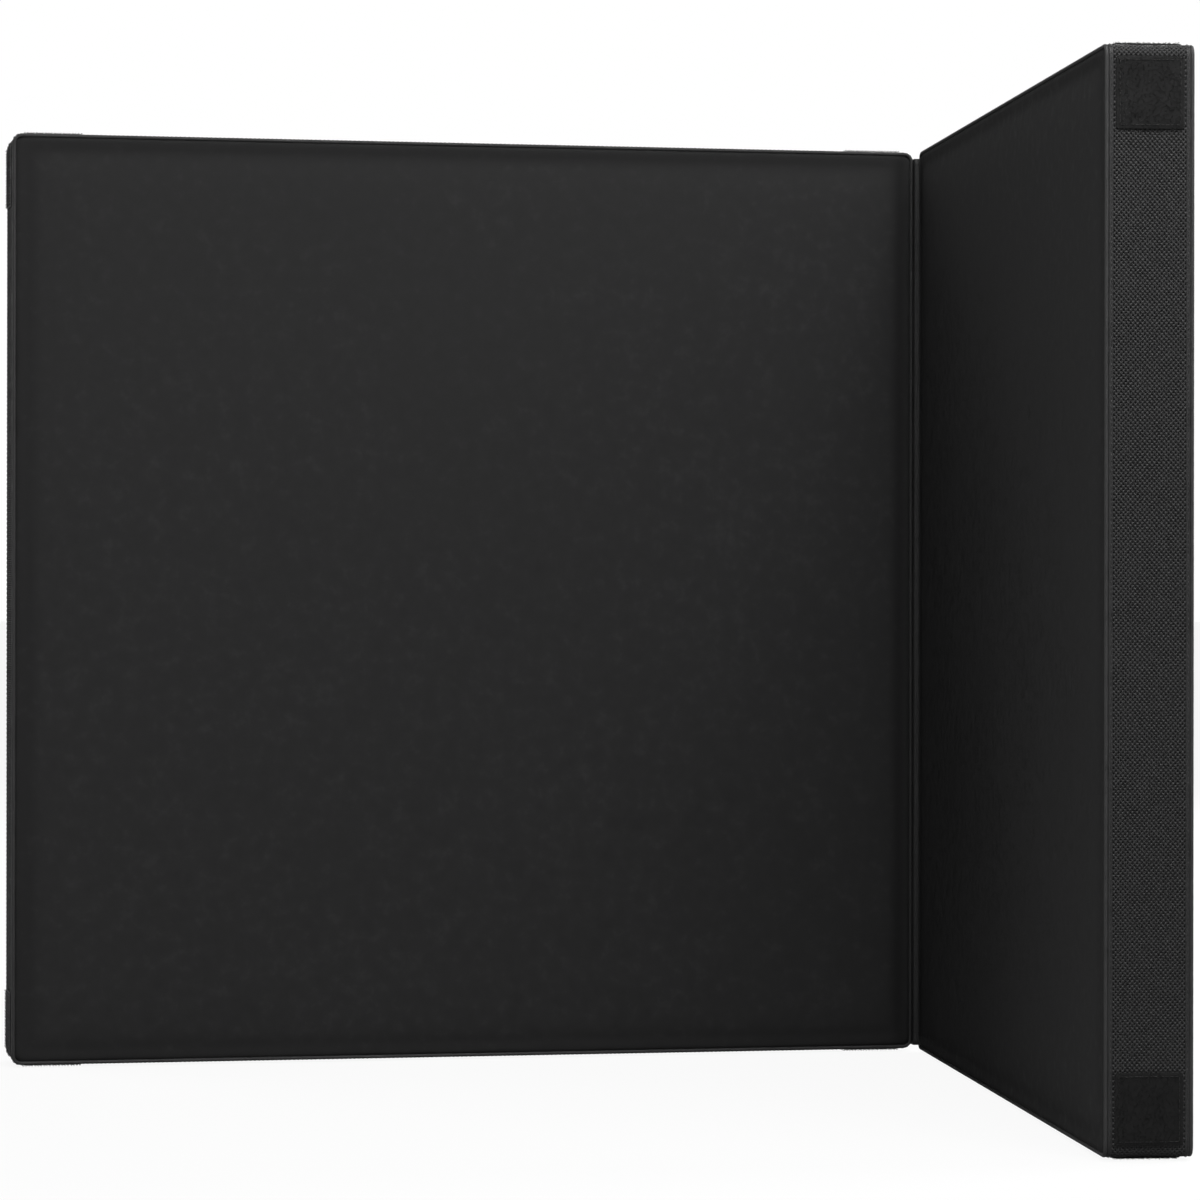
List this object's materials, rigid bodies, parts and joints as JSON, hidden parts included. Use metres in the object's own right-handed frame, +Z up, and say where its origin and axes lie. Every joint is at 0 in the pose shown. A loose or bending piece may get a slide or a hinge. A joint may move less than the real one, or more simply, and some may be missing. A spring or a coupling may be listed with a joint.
{
  "type": "folding padded board",
  "caption": "Two square padded foam leaves in black fabric, joined along one edge by a fabric hinge, with mesh sides and hook-and-loop patches for joining boards.",
  "frame": {"origin": "the middle of the whole board's box seen from above, on the floor the board stands on, with the board open at 84 degrees between its front faces", "axes": "+Z up, along the hinge; -X from the hinge along the left leaf; +Y out of the left leaf's back, so its front face looks towards -Y"},
  "size_m": [0.6642, 0.6662, 0.6136],
  "materials": {
    "cover_fabric": "matte black plain-woven polyester, slightly mottled",
    "side_mesh": "black open knitted mesh with staggered holes, slightly shiny yarn",
    "piping": "black woven piping along the seams",
    "foam": "black closed-cell polyethylene foam, fine-celled skin",
    "hook_tape": "black woven tape with small nylon hooks",
    "loop_tape": "black woven tape with a brushed loop pile",
    "hinge_webbing": "black woven polyester strip, sewn in rows"
  },
  "bodies": {
    "left_leaf": {"left_front_foam": "foam", "left_back_foam": "foam", "left_front_cover": "cover_fabric", "left_back_cover": "cover_fabric", "left_front_piping": "piping", "left_back_piping": "piping", "left_mesh_band": "side_mesh", "left_end_patch_upper": "hook_tape", "left_end_patch_lower": "hook_tape", "left_top_patch_outer": "hook_tape", "left_top_patch_inner": "hook_tape", "left_bottom_patch_outer": "hook_tape", "left_bottom_patch_inner": "hook_tape", "hinge_strip": "hinge_webbing"},
    "right_leaf": {"right_front_foam": "foam", "right_back_foam": "foam", "right_front_cover": "cover_fabric", "right_back_cover": "cover_fabric", "right_front_piping": "piping", "right_back_piping": "piping", "right_mesh_band": "side_mesh", "right_end_patch_upper": "loop_tape", "right_end_patch_lower": "loop_tape", "right_top_patch_outer": "loop_tape", "right_top_patch_inner": "loop_tape", "right_bottom_patch_outer": "loop_tape", "right_bottom_patch_inner": "loop_tape"}
  },
  "joints": [
    {"name": "fold", "type": "hinge", "parent": "left_leaf", "child": "right_leaf", "pos_m": [0.28119, 0.2816, 0.3068], "axis": [0, 0, 1], "range_deg": [-84, 96], "deforming": ["hinge_strip"]}
  ]
}
